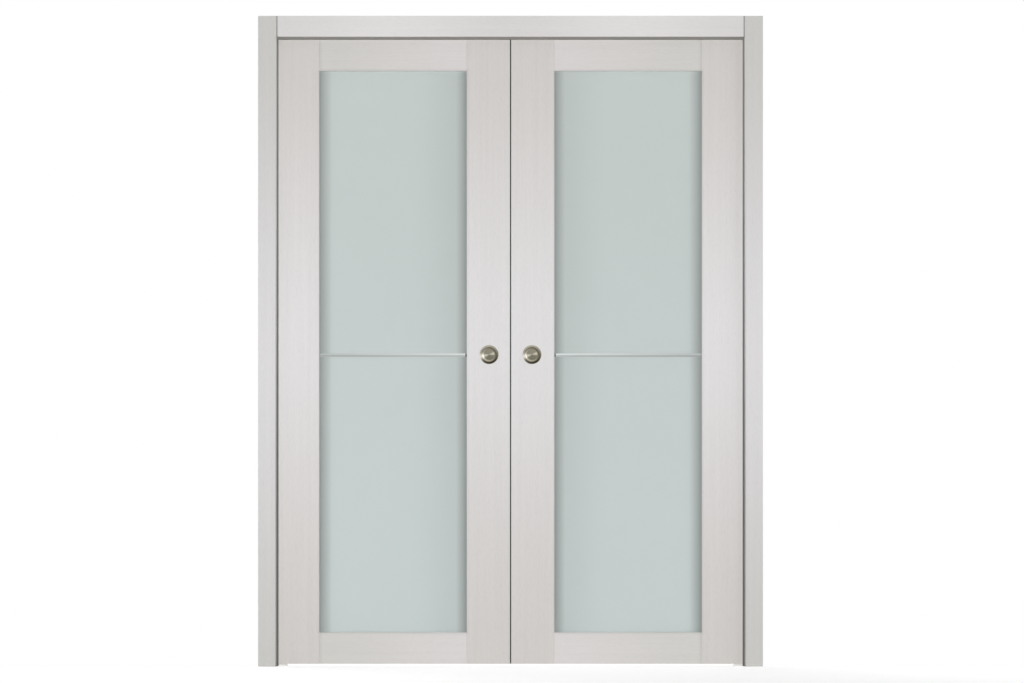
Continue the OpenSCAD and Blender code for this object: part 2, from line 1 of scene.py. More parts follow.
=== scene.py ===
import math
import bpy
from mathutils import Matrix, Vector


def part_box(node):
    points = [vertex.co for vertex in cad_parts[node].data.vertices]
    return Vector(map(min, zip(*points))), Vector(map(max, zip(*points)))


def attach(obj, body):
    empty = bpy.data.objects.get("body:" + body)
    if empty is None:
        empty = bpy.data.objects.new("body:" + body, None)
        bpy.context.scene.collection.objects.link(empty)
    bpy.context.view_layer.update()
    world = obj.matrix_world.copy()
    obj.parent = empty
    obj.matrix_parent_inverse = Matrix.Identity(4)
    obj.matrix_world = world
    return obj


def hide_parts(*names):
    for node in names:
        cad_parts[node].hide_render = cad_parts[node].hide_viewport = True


bl_info = {
    "name": "Double pocket door",
    "version": (1, 0, 0),
    "blender": (4, 5, 0),
    "location": "3D View > Sidebar > Pocket door",
    "description": "Dresses a double pocket door in laminate, frosted glass, metal and rubber",
    "category": "Object",
}

from functools import partial

import bmesh
import bpy
import numpy as np
from mathutils import Vector

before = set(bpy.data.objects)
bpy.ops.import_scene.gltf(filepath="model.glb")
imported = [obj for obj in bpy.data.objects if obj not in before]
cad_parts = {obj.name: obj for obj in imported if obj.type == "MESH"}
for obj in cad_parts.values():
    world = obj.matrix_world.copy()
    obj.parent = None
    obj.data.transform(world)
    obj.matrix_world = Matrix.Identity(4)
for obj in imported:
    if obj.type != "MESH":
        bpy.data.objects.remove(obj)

MM = 0.001
SIDES = {"left": -1, "right": 1}
FACES = {"front": -1, "back": 1}
AXES = {"X": 0, "Y": 1, "Z": 2}

# A Mix node's two inputs and its output where it mixes colours
FIRST, SECOND, MIXED = 6, 7, 2

# Edges sharper than this many degrees stay sharp
CREASE = 35

# Places read from the frame, in metres
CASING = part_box("casing_leg_front_right")
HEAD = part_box("casing_head_front")
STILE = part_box("meeting_stile_right")
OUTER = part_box("outer_stile_right")
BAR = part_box("glazing_bar_right")
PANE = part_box("upper_pane_right")
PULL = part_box("pull_front_right")
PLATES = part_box("hanger_plates_right")
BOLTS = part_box("hanger_bolts_right")
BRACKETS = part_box("end_brackets")
CARRIAGES = [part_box("inner_carriage_right"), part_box("outer_carriage_right")]

CASING_FACE = CASING[0].y
DOORWAY_X = CASING[0].x
DOORWAY_Z = HEAD[0].z
LEAF_FACE = STILE[0].y
GLASS_IN = STILE[1].x
GLASS_OUT = OUTER[0].x
GLASS_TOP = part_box("top_rail_right")[0].z
GLASS_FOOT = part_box("bottom_rail_right")[1].z
BAR_Z = (BAR[0].z + BAR[1].z) / 2
BAR_WEB = 2 * (PANE[0].z - BAR_Z)
PULL_X = (PULL[0].x + PULL[1].x) / 2
PULL_Z = (PULL[0].z + PULL[1].z) / 2
HANGER_X = [(low.x + high.x) / 2 for low, high in CARRIAGES]

# Sizes that the boxes don't tell, in metres: from a hanger plate's end and from a bracket's outer
# face to a screw, from the middle of a bracket to a screw, and the depth of the casings' tongues
PLATE_INSET = 12 * MM
FOOT_INSET = 32.5 * MM
FOOT_HALF_PITCH = 18 * MM
TONGUE = 12 * MM

PLATE_HOLE = HANGER_X[0] - PLATES[0].x - PLATE_INSET
FOOT_HOLES = [(sx * (BRACKETS[1].x - FOOT_INSET), sy * FOOT_HALF_PITCH)
              for sx in (-1, 1) for sy in (-1, 1)]

# Heights between which the painted shade in the line between casings and leaves grows darker
# # downwards, height below which painted light makes the leaves lighter, offsetting the shade near
# # the floor, and how far from the doorway's sides and top that painted light, offsetting the
# # casings' shade, starts to grow and is lightest
PAINTED_SHADE_HEIGHTS = (2.3, 0.4)
FOOT_RISE = 0.7
SIDE_MARGIN = (18 * MM, 0)
TOP_MARGIN = (24 * MM, 8 * MM)


def linear(code):
    """Turns an sRGB hex colour such as #d8d6d4 into linear red, green, blue and alpha."""
    parts = [int(code[i:i + 2], 16) / 255 for i in (1, 3, 5)]
    return (*(c / 12.92 if c <= 0.04045 else ((c + 0.055) / 1.055) ** 2.4 for c in parts), 1.0)


def colour(label, code, about):
    """A colour that the user can change, from its sRGB hex value."""
    return bpy.props.FloatVectorProperty(
        name=label, description=about, subtype="COLOR", size=4, min=0, max=1,
        default=linear(code))


def length(label, mm, about):
    """A length that the user can change, from its value in millimetres."""
    return bpy.props.FloatProperty(
        name=label, description=about, subtype="DISTANCE", unit="LENGTH", min=0,
        default=mm * MM)


class Finishes(bpy.types.PropertyGroup):
    """Colours of the door's finishes."""
    # Each laminate's two tones paint a sheen: the lighter one is a painted highlight along the
    # board where the light falls most, the darker one its less lit stretches
    casing_end: colour("Casing ends", "#c9c8c5", "Laminate of a casing leg near its ends")
    casing_painted_sheen: colour("Casing middle", "#dddbdc", "Laminate of a casing leg in its light stretch")
    head_dark: colour("Head dark", "#d7d4d4", "Laminate of a casing head at its ends and middle")
    head_painted_sheen: colour("Head light", "#e0dddd", "Laminate of a casing head in its light stretches")
    stile_end: colour("Stile ends", "#cecac7", "Laminate of a stile near its ends")
    stile_painted_sheen: colour("Stile middle", "#e1dfdf", "Laminate of a stile in its light stretch")
    rail_outer: colour("Rail outer end", "#ceccc8", "Laminate of a rail next to the outer stile")
    rail_painted_sheen: colour("Rail inner end", "#d6d2d1", "Laminate of a rail next to the meeting stile")
    glass_top: colour("Glass top", "#c5cdcb", "Frosted pane in the upper middle of its opening")
    glass_foot: colour("Glass foot", "#cbd4d3", "Frosted pane in the lower middle of its opening")
    glass_edge: colour("Glass edge", "#9ba2a0", "Frosted pane in the shade of the stiles")
    # Tones of the pull's painted highlights and painted shade
    nickel_painted_highlight: colour("Nickel light", "#fcf8f0", "Satin nickel where the light catches it")
    nickel_mid: colour("Nickel middle", "#b0ab9a", "Satin nickel between light and dark")
    nickel_painted_shade: colour("Nickel dark", "#3f3b2b", "Satin nickel turned from the light")
    # Tones of the bar's painted highlight and painted shade
    bar_painted_highlight: colour("Bar light", "#dbe0df", "Anodised bar where it catches the light")
    bar_painted_shade: colour("Bar dark", "#a2a7a6", "Anodised bar where it turns down")
    pad: colour("Bar pad", "#4d504e", "Rubber pads between the bars and the meeting stiles")
    rubber: colour("Seal rubber", "#86847f", "Seals between jambs and leaves")
    meeting_rubber: colour("Meeting seal", "#2e2a28", "Seal between the two leaves")
    timber: colour("Header timber", "#d9b98c", "Planed softwood of the header board")


class Details(bpy.types.PropertyGroup):
    """Sizes of the marks and small pieces that the finishes add."""
    fibre_width: length("Fibre width", 2.4, "Width of the fine streaks printed in the laminate")
    figure_width: length("Figure width", 15, "Width of the broad streaks in the laminate")
    pore_width: length("Pore width", 0.6, "Width of the pores pressed into the laminate")
    glass_shade: length("Glass shade", 41, "How far the shade of a stile reaches over the glass")
    brush_pitch: length("Brush pitch", 0.25, "Spacing of the brushed lines in the metal")
    # The three lines below are painted shade in the gaps and joints between parts
    leg_joint: length("Leg joint", 6, "Width of the dark line along a casing leg's inner edge")
    rail_joint: length("Rail joint", 14, "Width of the faint line where a rail meets a stile")
    head_joint: length("Head joint", 5, "Width of the dark line where a casing head meets a leg")
    pad_length: length("Bar pad", 4, "Length of the rubber pad at the inner end of a bar")
    screw_head: length("Screw head", 9, "Width of the screw heads on the plates and brackets")
    screw_rise: length("Screw rise", 1.8, "Height of the screw heads on the plates and brackets")


class Studio(bpy.types.PropertyGroup):
    """Camera and light."""
    distance: length("Camera distance", 30000, "Distance from the casing's face to the camera")
    picture_width: length("Picture width", 3328, "Width that the picture takes in at that face")
    camera_x: length("Camera place", 4.7, "Place of the camera along the wall, to the right")
    camera_z: length("Camera height", 1056.6, "Height of the camera above the floor")
    floor_reach: length("Floor reach", 9000, "How far the floor reaches from the doorway's middle")
    wall_reach: length("Wall reach", 3200, "How far the wall's face reaches up and to the sides")
    ambient: bpy.props.FloatProperty(
        name="Ambient light", description="Strength of the white surroundings as a light",
        default=0.2)


def add_node(tree, kind, inputs=(), output=0, **settings):
    """Adds a node of a kind with its settings, sets or links its inputs, which come in order or by
    name, and returns one of its outputs."""
    node = tree.nodes.new("ShaderNode" + kind)
    for name, value in settings.items():
        setattr(node, name, value)
    for key, value in inputs.items() if isinstance(inputs, dict) else enumerate(inputs):
        if isinstance(value, bpy.types.NodeSocket):
            tree.links.new(value, node.inputs[key])
        else:
            node.inputs[key].default_value = value
    return node.outputs[output] if node.outputs else None


def begin(name):
    """A new material with an empty node tree, and what adds nodes to that tree."""
    made = bpy.data.materials.new(name)
    made.use_nodes = True
    made.node_tree.nodes.clear()
    return made, partial(add_node, made.node_tree)


def finish(made, add, inputs):
    """Ends a material in one Principled shader with these inputs."""
    add("OutputMaterial", {"Surface": add("BsdfPrincipled", inputs)})
    return made


def along(add, axis):
    """The point's place along one axis of the door's own frame."""
    return add("SeparateXYZ", (add("TexCoord", output="Object"),), axis)


def offset(add, axis):
    """The point's height, or its distance from the door's middle along X or Y to either side."""
    if axis == "Z":
        return along(add, axis)
    return add("Math", (along(add, axis),), operation="ABSOLUTE")


def fade(add, axis, first, last, rise="SMOOTHSTEP"):
    """0 where the point's offset along an axis is first and 1 where it is last."""
    return add("MapRange", (offset(add, axis), first, last), interpolation_type=rise)


def band(add, axis, middle, width):
    """1 where the point's offset along an axis is middle, falling to 0 at width to both sides."""
    off = add("Math", (offset(add, axis), middle), operation="SUBTRACT")
    off = add("Math", (off,), operation="ABSOLUTE")
    return add("MapRange", (off, width, 0), interpolation_type="SMOOTHSTEP")


def shade(add, base, amount, low, high):
    """A colour times a number that goes from low to high as the amount goes from 0 to 1."""
    if not isinstance(base, bpy.types.NodeSocket):
        base = tuple(base)[:3]
    factor = add("Math", (amount, high - low, low), operation="MULTIPLY_ADD")
    return add("VectorMath", {"Vector": base, "Scale": factor}, operation="SCALE")


def random_marks(add, size, detail, where=None):
    """A random pattern whose marks are about size metres along X, Y and Z."""
    where = where or add("TexCoord", output="Object")
    scaled = add("Mapping", {"Vector": where, "Scale": [1 / s for s in size]})
    return add("TexNoise", {"Vector": scaled, "Scale": 1.0, "Detail": detail})


def worked(add, base, pattern, spread, depth, strength=0.4, rough=None):
    """Inputs of a surface whose pattern varies its colour by spread in all, raises it by depth in
    metres, and varies its roughness between two values."""
    inputs = {
        "Base Color": shade(add, base, pattern, 1 - spread / 2, 1 + spread / 2),
        "Normal": add("Bump", {"Height": pattern, "Distance": depth, "Strength": strength})}
    if rough:
        span = rough[1] - rough[0]
        inputs["Roughness"] = add("Math", (pattern, span, rough[0]), operation="MULTIPLY_ADD")
    return inputs


def grain(axis, across, lengthwise):
    """Size of a wood mark: across the grain in two directions and lengthwise in the third."""
    return [lengthwise if i == AXES[axis] else across for i in range(3)]


def painted_shade_line(add, first, last, heights):
    """A painted shade line across the doorway, where shade falls in a joint or gap: 0 at first and
    1 at last, both as distances from its middle. With heights it grows between them and keeps to
    the outer skin of the casing."""
    line = fade(add, "X", first, last)
    if heights:
        skin = fade(add, "Y", -CASING_FACE - 3 * MM, -CASING_FACE - 1 * MM)
        line = add("Math", (line, fade(add, "Z", *heights)), operation="MULTIPLY")
        line = add("Math", (line, skin), operation="MULTIPLY")
    return line


def laminate(name, axis, dark, light, stretch, joint=None, darkness=0.0, heights=None,
             foot=0.0, margin=0.0):
    """Melamine-faced MDF printed with a pale ash figure and pressed with fine pores: satin, with
    faint streaks along the board, and pores drawn wider than they are so that they show. Over the
    print goes painted light. Stretch is the middle and the width to each side of a painted sheen,
    a lighter stretch where the light falls most: heights for an upright board, distances from the
    doorway's middle for one across. Joint is where a painted shade line starts and where it is
    full, darkness its strength, and heights those it grows between. Foot is how much painted light
    lifts it towards the floor, and margin how much next to the doorway's edges, both offsetting
    the shade that falls there."""
    size = bpy.context.scene.door_details
    made, add = begin(name)
    tones = {"Factor": band(add, axis, *stretch), FIRST: dark, SECOND: light}
    base = add("Mix", tones, MIXED, data_type="RGBA")
    # Painted light: lighter towards the floor and next to the doorway's edges, offsetting the
    # shade that falls there
    if foot:
        base = shade(add, base, fade(add, "Z", FOOT_RISE, 0.0), 1, 1 + foot)
    if margin:
        side = fade(add, "X", *(DOORWAY_X - gap for gap in SIDE_MARGIN))
        top = fade(add, "Z", *(DOORWAY_Z - gap for gap in TOP_MARGIN))
        near = add("Math", (side, top), operation="MAXIMUM")
        base = shade(add, base, near, 1, 1 + margin)
    # Painted shade in the joint or gap beside the board
    if joint:
        base = shade(add, base, painted_shade_line(add, *joint, heights), 1, 1 - darkness)
    figure = random_marks(add, grain(axis, size.figure_width, 0.9), 3)
    fibre = random_marks(add, grain(axis, size.fibre_width, 0.22), 2)
    pores = random_marks(add, grain(axis, size.pore_width, 0.016), 0)
    pores = add("MapRange", (pores, 0.62, 0.72), interpolation_type="SMOOTHSTEP")
    streaks = add("Math", (fibre, 0.06, 0.935), operation="MULTIPLY_ADD")
    streaks = add("Math", (pores, -0.07, streaks), operation="MULTIPLY_ADD")
    streaks = add("Math", (figure, 0.07, streaks), operation="MULTIPLY_ADD")
    height = add("Math", (pores, -0.6, fibre), operation="MULTIPLY_ADD")
    return finish(made, add, {
        "Base Color": add("VectorMath", {"Vector": base, "Scale": streaks}, operation="SCALE"),
        "Roughness": add("Math", (fibre, 0.14, 0.36), operation="MULTIPLY_ADD"),
        "Normal": add("Bump", {"Height": height, "Distance": 0.08 * MM, "Strength": 0.5}),
        "IOR": 1.5, "Specular IOR Level": 0.35})


def frosted_glass():
    """Acid-etched tinted float glass: pale blue-green and satin, lets blurred light through, with
    painted shade where the stiles shade it and painted light under the top rail that offsets the
    rail's shadow. The grit of its etching is drawn coarser than it is, so that it shows."""
    look = bpy.context.scene.door_finishes
    width = bpy.context.scene.door_details.glass_shade
    made, add = begin("Frosted float glass")
    fall = fade(add, "Z", GLASS_TOP, GLASS_FOOT)
    inner = fade(add, "X", GLASS_IN, GLASS_IN + 0.85 * width, "LINEAR")
    outer = fade(add, "X", GLASS_OUT, GLASS_OUT - width, "LINEAR")
    clear = add("Math", (inner, outer), operation="MULTIPLY")
    open_glass = {"Factor": fall, FIRST: look.glass_top, SECOND: look.glass_foot}
    open_glass = add("Mix", open_glass, MIXED, data_type="RGBA")
    whole = {"Factor": clear, FIRST: look.glass_edge, SECOND: open_glass}
    base = add("Mix", whole, MIXED, data_type="RGBA")
    # Painted shade that reaches far from the meeting and outer stiles, and painted light under the
    # top rail
    for axis, first, last, change in (("X", GLASS_IN + 4.6 * width, GLASS_IN, -0.1),
                                      ("X", GLASS_OUT - 1.5 * width, GLASS_OUT, -0.07),
                                      ("Z", GLASS_TOP - 8 * MM, GLASS_TOP, 0.25)):
        base = shade(add, base, fade(add, axis, first, last), 1, 1 + change)
    etch = random_marks(add, (0.4 * MM,) * 3, 1)
    return finish(made, add, {
        **worked(add, base, etch, 0.03, 0.05 * MM),
        "IOR": 1.5, "Roughness": 0.55, "Transmission Weight": 0.3, "Specular IOR Level": 0.25})


def anodised_aluminium():
    """Extruded bar, brushed along its length and anodised, with painted light: a painted highlight
    on the upper half and a painted reflection on the lower lip, painted shade where the crown
    turns down, brightest at the meeting stile and duller towards the outer stile. The brushed
    lines are drawn coarser than they are, so that they show."""
    look = bpy.context.scene.door_finishes
    pitch = bpy.context.scene.door_details.brush_pitch
    made, add = begin("Brushed anodised aluminium")
    # Painted highlights, reflection and shade over the bar's colour
    inner = fade(add, "X", GLASS_OUT, GLASS_IN, "LINEAR")
    upper = fade(add, "Z", BAR_Z - 1 * MM, BAR_Z + 3 * MM)
    lip = fade(add, "Z", BAR_Z - 2 * MM, BAR_Z - 5 * MM)
    crown = add("Math", (inner, 0.4, 0.25), operation="MULTIPLY_ADD")
    lit = add("Math", (upper, crown), operation="MULTIPLY")
    lit = add("Math", (inner, 0.25, lit), operation="MULTIPLY_ADD")
    lit = add("Math", (lip, 0.3, lit), operation="MULTIPLY_ADD")
    tones = {"Factor": lit, FIRST: look.bar_painted_shade, SECOND: look.bar_painted_highlight}
    base = add("Mix", tones, MIXED, data_type="RGBA")
    lines = random_marks(add, (0.12, pitch, pitch), 2)
    return finish(made, add, {
        **worked(add, base, lines, 0.16, 0.02 * MM, rough=(0.24, 0.36)),
        "Metallic": 1.0, "Anisotropic": 0.5})


def facing(add, angle, middle):
    """1 where the angle is the middle one in degrees, falling to -1 on the opposite side."""
    turn = add("Math", (angle, math.radians(middle)), operation="SUBTRACT")
    return add("Math", (turn,), operation="COSINE")


def swing(add, angle, middle, low, high):
    """A number that swings round a circle: high at the middle angle and low opposite to it."""
    swung = (facing(add, angle, middle), (high - low) / 2, (high + low) / 2)
    return add("Math", swung, operation="MULTIPLY_ADD")


def wedge(add, angle, middle, narrow):
    """A painted wedge of light about the middle angle: what faces it, to a power that makes it
    narrow.
    """
    near = add("Math", (facing(add, angle, middle), 0.0), operation="MAXIMUM")
    return add("Math", (near, narrow), operation="POWER")


def round_the_pull(add):
    """The point's distance from the axis of the nearest pull and its angle round it, from the
    right and anticlockwise as seen from the front."""
    x, z = along(add, "X"), along(add, "Z")
    side = add("Math", (x,), operation="SIGN")
    x = add("Math", (side, -PULL_X, x), operation="MULTIPLY_ADD")
    z = add("Math", (z, PULL_Z), operation="SUBTRACT")
    square = add("Math", (z, z), operation="MULTIPLY")
    square = add("Math", (x, x, square), operation="MULTIPLY_ADD")
    return add("Math", (square,), operation="SQRT"), add("Math", (z, x), operation="ARCTAN2")


def satin_nickel():
    """Brass cup spun and brushed in circles, then nickel plated, with painted light: a painted
    highlight wedge on the left that runs over floor, wall and rim, a smaller one on the right of
    the floor, and the slow painted light and shade that floor, wall and rim each have round the
    circle; and fine rings all over, drawn coarser than they are so that they show."""
    look = bpy.context.scene.door_finishes
    pitch = bpy.context.scene.door_details.brush_pitch
    made, add = begin("Brushed satin nickel")
    radius, angle = round_the_pull(add)
    left, right = wedge(add, angle, 193, 18), wedge(add, angle, 13, 20)
    # Painted light: highlights and shade round the pull, mixed below from its dark, middle and
    # light tones
    lit = swing(add, angle, 90, 0.135, 0.22)
    for light in (right, left):
        lit = add("Math", (light, 0.38, lit), operation="MULTIPLY_ADD")
    wall = (16.5, 19), 0.8, (215, 0.12, 0.42)
    rim = (22.5, 24.5), 0.55, (105, 0.0, 0.35)
    for (inside, outside), bright, slow in (wall, rim):
        part = add("Math", (left, bright, swing(add, angle, *slow)), operation="MULTIPLY_ADD")
        gain = add("Math", (part, lit), operation="SUBTRACT")
        edge = (radius, inside * MM, outside * MM)
        there = add("MapRange", edge, interpolation_type="SMOOTHSTEP")
        lit = add("Math", (there, gain, lit), operation="MULTIPLY_ADD")
    base = look.nickel_painted_shade
    for low, high, lighter in ((0.0, 0.4, look.nickel_mid), (0.4, 1.0, look.nickel_painted_highlight)):
        amount = add("MapRange", (lit, low, high), interpolation_type="LINEAR")
        tones = {"Factor": amount, FIRST: base, SECOND: lighter}
        base = add("Mix", tones, MIXED, data_type="RGBA")
    turn = add("Math", (angle, 0.4 * MM), operation="MULTIPLY")
    rings = random_marks(add, (pitch,) * 3, 2, add("CombineXYZ", (radius, turn)))
    return finish(made, add, {
        **worked(add, base, rings, 0.24, 0.02 * MM, rough=(0.26, 0.41)),
        "Tangent": add("Tangent", direction_type="UV_MAP", uv_map="brushing"),
        "Metallic": 1.0, "Anisotropic": 0.4})


def soft_rubber(name, base, foot=0.0, head=0.0):
    """Extruded or moulded rubber: dull, with a faint skin that is drawn coarser than it is. Foot
    is how much painted shade darkens it downwards, and head how much painted light lightens it
    over the leaves, offsetting the shade under the head."""
    made, add = begin(name)
    overhead = (DOORWAY_Z - 5 * MM, DOORWAY_Z - 1 * MM)
    for heights, change in ((PAINTED_SHADE_HEIGHTS, -foot), (overhead, head)):
        if change:
            base = shade(add, base, fade(add, "Z", *heights), 1, 1 + change)
    skin = random_marks(add, (0.8 * MM,) * 3, 3)
    return finish(made, add, {
        **worked(add, base, skin, 0.3, 0.05 * MM, strength=0.5),
        "Roughness": 0.72, "Specular IOR Level": 0.3})


def planed_softwood():
    """Spruce board planed on all sides: honey-coloured growth rings drawn out along the board, as
    waves across it that repeat every 5 mm and wander slowly, with fine fibres over them."""
    timber = bpy.context.scene.door_finishes.timber
    made, add = begin("Planed spruce")
    warp = random_marks(add, (0.45, 0.03, 0.03), 2)
    across = add("Math", (warp, 0.035, along(add, "Y")), operation="MULTIPLY_ADD")
    phase = add("Math", (across, 2 * math.pi / (5 * MM)), operation="MULTIPLY")
    wave = add("Math", (phase,), operation="SINE")
    rings = add("MapRange", (wave, -0.4, 1.0), interpolation_type="SMOOTHSTEP")
    fibre = random_marks(add, (0.06, 0.5 * MM, 0.5 * MM), 2)
    tone = add("Math", (fibre, 0.16, 0.96), operation="MULTIPLY_ADD")
    tone = add("Math", (rings, -0.22, tone), operation="MULTIPLY_ADD")
    return finish(made, add, {
        "Base Color": shade(add, timber, tone, 0, 1),
        "Roughness": add("Math", (fibre, 0.2, 0.45), operation="MULTIPLY_ADD"),
        "Normal": add("Bump", {"Height": fibre, "Distance": 0.15 * MM, "Strength": 0.6}),
        "IOR": 1.5, "Specular IOR Level": 0.3})


def metal(name, code, roughness, spread, size, metallic=1.0):
    """Plain metal: spread is the strength of its streaks or mottling, size the size of a mark."""
    made, add = begin(name)
    rough = (roughness - 0.08, roughness + 0.08)
    pattern = random_marks(add, size, 3)
    return finish(made, add, {
        **worked(add, linear(code), pattern, spread, 0.04 * MM, rough=rough),
        "Metallic": metallic})


def plastic(name, code, roughness):
    """Moulded plastic: even, with the faint orange peel of its mould."""
    made, add = begin(name)
    rough = (roughness - 0.06, roughness + 0.06)
    peel = random_marks(add, (1.5 * MM,) * 3, 2)
    return finish(made, add, {
        **worked(add, linear(code), peel, 0.06, 0.03 * MM, rough=rough),
        "IOR": 1.48, "Subsurface Weight": 0.05})


def dress(material, *stems):
    """Gives a material to the frame's nodes of these names, or of these names on both sides."""
    for stem in stems:
        names = [stem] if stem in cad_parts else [f"{stem}_{side}" for side in SIDES]
        for name in names:
            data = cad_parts[name].data
            data.materials.clear()
            data.materials.append(material)


def piece(name, grids, body, material, uv=None):
    """A piece from one or more grids of points. In each grid neighbouring points are joined by
    quads and the last column is joined to the first, so that rows are rings. Points that fall
    together are merged. With uv, each point's row and column are kept under that name."""
    faces, places, start = [], [], 0
    for grid in grids:
        rows, columns = grid.shape[:2]
        i, j = np.meshgrid(np.arange(rows - 1), np.arange(columns), indexing="ij")
        corners = [(i, j), (i + 1, j), (i + 1, j + 1), (i, j + 1)]
        quads = np.stack([a * columns + b % columns + start for a, b in corners], -1)
        spots = np.stack([np.stack([a / rows, b / columns], -1) for a, b in corners], 2)
        faces.append(quads.reshape(-1, 4))
        places.append(spots.reshape(-1, 2))
        start += rows * columns
    mesh = bpy.data.meshes.new(name)
    points = np.concatenate([grid.reshape(-1, 3) for grid in grids])
    mesh.from_pydata(points.tolist(), [], np.concatenate(faces).tolist())
    if uv:
        layer = mesh.uv_layers.new(name=uv)
        layer.data.foreach_set("uv", np.concatenate(places).ravel())
    work = bmesh.new()
    work.from_mesh(mesh)
    bmesh.ops.remove_doubles(work, verts=work.verts, dist=1e-6)
    bmesh.ops.recalc_face_normals(work, faces=work.faces)
    work.to_mesh(mesh)
    work.free()
    mesh.shade_smooth()
    mesh.set_sharp_from_angle(angle=math.radians(CREASE))
    mesh.materials.append(material)
    made = bpy.data.objects.new(name, mesh)
    bpy.context.scene.collection.objects.link(made)
    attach(made, body)
    return made


def round_trip(steps):
    """Angles once round a circle, in radians."""
    return np.linspace(0, 2 * math.pi, steps, endpoint=False)


def bow(centre, radius, start, end, steps=8):
    """Points on an arc about centre, between two angles in degrees."""
    angle = np.radians(np.linspace(start, end, steps))
    return np.stack([centre[0] + radius * np.cos(angle), centre[1] + radius * np.sin(angle)], -1)


def turned(profile, steps, flats=None):
    """A profile of radius and height carried round its axis: each point goes round a circle of
    its radius. With flats, what lies within that radius of the axis is also cut back to a hexagon
    across those corners: the radius is at most the flat's distance divided by the cosine of the
    angle from the flat's middle."""
    angle = round_trip(steps)
    radius, height = np.broadcast_arrays(profile[:, :1] + 0 * angle, profile[:, 1:])
    if flats:
        sixth = math.pi / 3
        cut = flats * math.cos(sixth / 2) / np.cos(angle % sixth - sixth / 2)
        radius = np.where(radius > flats, radius, np.minimum(radius, cut))
    return np.stack([radius * np.cos(angle), radius * np.sin(angle), height], -1)


def drawn_out(section, start, end):
    """A closed section in Y and Z carried along X, with flat ends whose points meet midway."""
    ring = np.insert(section, 0, 0, axis=1)
    middle = np.broadcast_to(ring.mean(0), ring.shape)
    shift = np.array([[start], [start], [end], [end]]) * [[1, 0, 0]]
    return np.stack([middle, ring, ring, middle]) + shift[:, None, :]


def thread(radius, pitch, depth, low, high):
    """A screw thread: at each height and angle the radius is the crest's less the depth times a V
    wave that repeats once a pitch and advances by one pitch a turn, and both ends are closed."""
    height = np.linspace(low, high, round((high - low) / pitch * 4) + 1)[:, None]
    angle = round_trip(24)
    phase = height / pitch - angle / (2 * math.pi)
    reach = radius - depth * np.abs(2 * (phase % 1) - 1)
    side = np.stack([reach * np.cos(angle), reach * np.sin(angle), height + 0 * angle], -1)
    return np.concatenate([side[:1] * [0, 0, 1], side, side[-1:] * [0, 0, 1]])


def screw_head(radius, rise):
    """Domed head with a cross recess, from its middle outwards: the height falls as the square of
    the radius, less a recess along both axes that is deepest in the middle and has steep
    sides."""
    arm, half_width, side = 0.62 * radius, 0.15 * radius, 0.06 * radius
    ring = radius * np.linspace(0, 1, 19)[:, None]
    angle = round_trip(64)
    x, y = ring * np.cos(angle), ring * np.sin(angle)
    near, far = np.minimum(abs(x), abs(y)), np.maximum(abs(x), abs(y))
    slot = np.clip((half_width - near) / side, 0, 1)
    deep = np.clip(1.5 * (1 - far / arm), 0, 1)
    height = rise * (1 - 0.45 * (ring / radius) ** 2 - 0.75 * slot * deep)
    top = np.stack([x, y, height], -1)
    return np.concatenate([top, top[-1:] * [1, 1, 0], top[-1:] * [0, 0, 0]])


def set_on(grid, origin, right, up, out):
    """Moves a grid from its own axes to a place: its X goes right, its Y up and its Z out."""
    return np.array(origin) + grid @ np.array([right, up, out], float)


def cup_profile():
    """Half section of a flush pull, from the middle of its floor over the rim to the middle of its
    back: a flat floor, a filleted corner, a straight wall, a rounded lip and a rounded rim."""
    rim, cup = (PULL[1].x - PULL[0].x) / 2, 24 * MM
    stand, depth = LEAF_FACE - PULL[0].y, 12 * MM
    wall, fillet, lip, edge, ease = 1.3 * MM, 3.5 * MM, 1.0 * MM, 1.2 * MM, 0.3 * MM
    corner = (cup - fillet, fillet - depth)
    floor = np.linspace(0, cup - fillet, 14, endpoint=False)
    return np.concatenate([
        np.stack([floor, np.full_like(floor, -depth)], -1),
        bow(corner, fillet, -90, 0, 10),
        bow((cup + lip, stand - lip), lip, 180, 90),
        bow((rim - edge, stand - edge), edge, 90, 0),
        [(rim - ease, 0), (cup + wall, 0)],
        bow(corner, fillet + wall, 0, -90),
        [(0, -depth - wall)],
    ])


def hanger_bolt():
    """Grids of one hanger bolt on its own axis: a threaded shank, a round head with a hexagon
    socket, and a chamfered nut on the plate."""
    low, top, seat = BOLTS[0].z, BOLTS[1].z, PLATES[1].z
    round_head, socket, brim = 7 * MM, 3.5 * MM, 0.01 * MM
    under, floor = top - 6 * MM, top - 3.5 * MM
    corners, bore, nut_top = 7.5 * MM, 3.6 * MM, seat + 6.5 * MM
    chamfer, ease = 0.6 * MM, 0.3 * MM
    head = np.array([
        (0, floor), (socket, floor), (socket, top), (socket + brim, top),
        (round_head - chamfer, top), (round_head, top - chamfer),
        (round_head, under + ease), (round_head - ease, under), (0, under)])
    nut = np.array([
        (bore, seat), (corners - 1 * MM, seat), (corners, seat + chamfer),
        (corners, nut_top - chamfer), (corners - 1 * MM, nut_top),
        (bore + 0.8 * MM, nut_top), (bore, nut_top - chamfer)])
    return [thread(4 * MM, 1.25 * MM, 0.7 * MM, low, under),
            turned(head, 48, flats=socket), turned(nut, 48, flats=corners)]


def cap_section():
    """Section of a bar's cap in Y and Z for the back of the leaf: flat against the pane, an eased
    edge, and a crown that is an arc through the bar's edges and its middle."""
    flat, crest, half = PANE[1].y, BAR[1].y, (BAR[1].z - BAR[0].z) / 2
    crown, ease, slope = 1.4 * MM, 0.3 * MM, 0.18 * MM
    radius = (half ** 2 + crown ** 2) / (2 * crown)
    turn = math.degrees(math.asin((half - ease) / radius))
    face = bow((crest - radius, 0), radius, -turn, turn, 24)
    edge = face[0, 0] - slope
    return np.concatenate([[(flat, -half), (edge, -half)], face, [(edge, half), (flat, half)]])


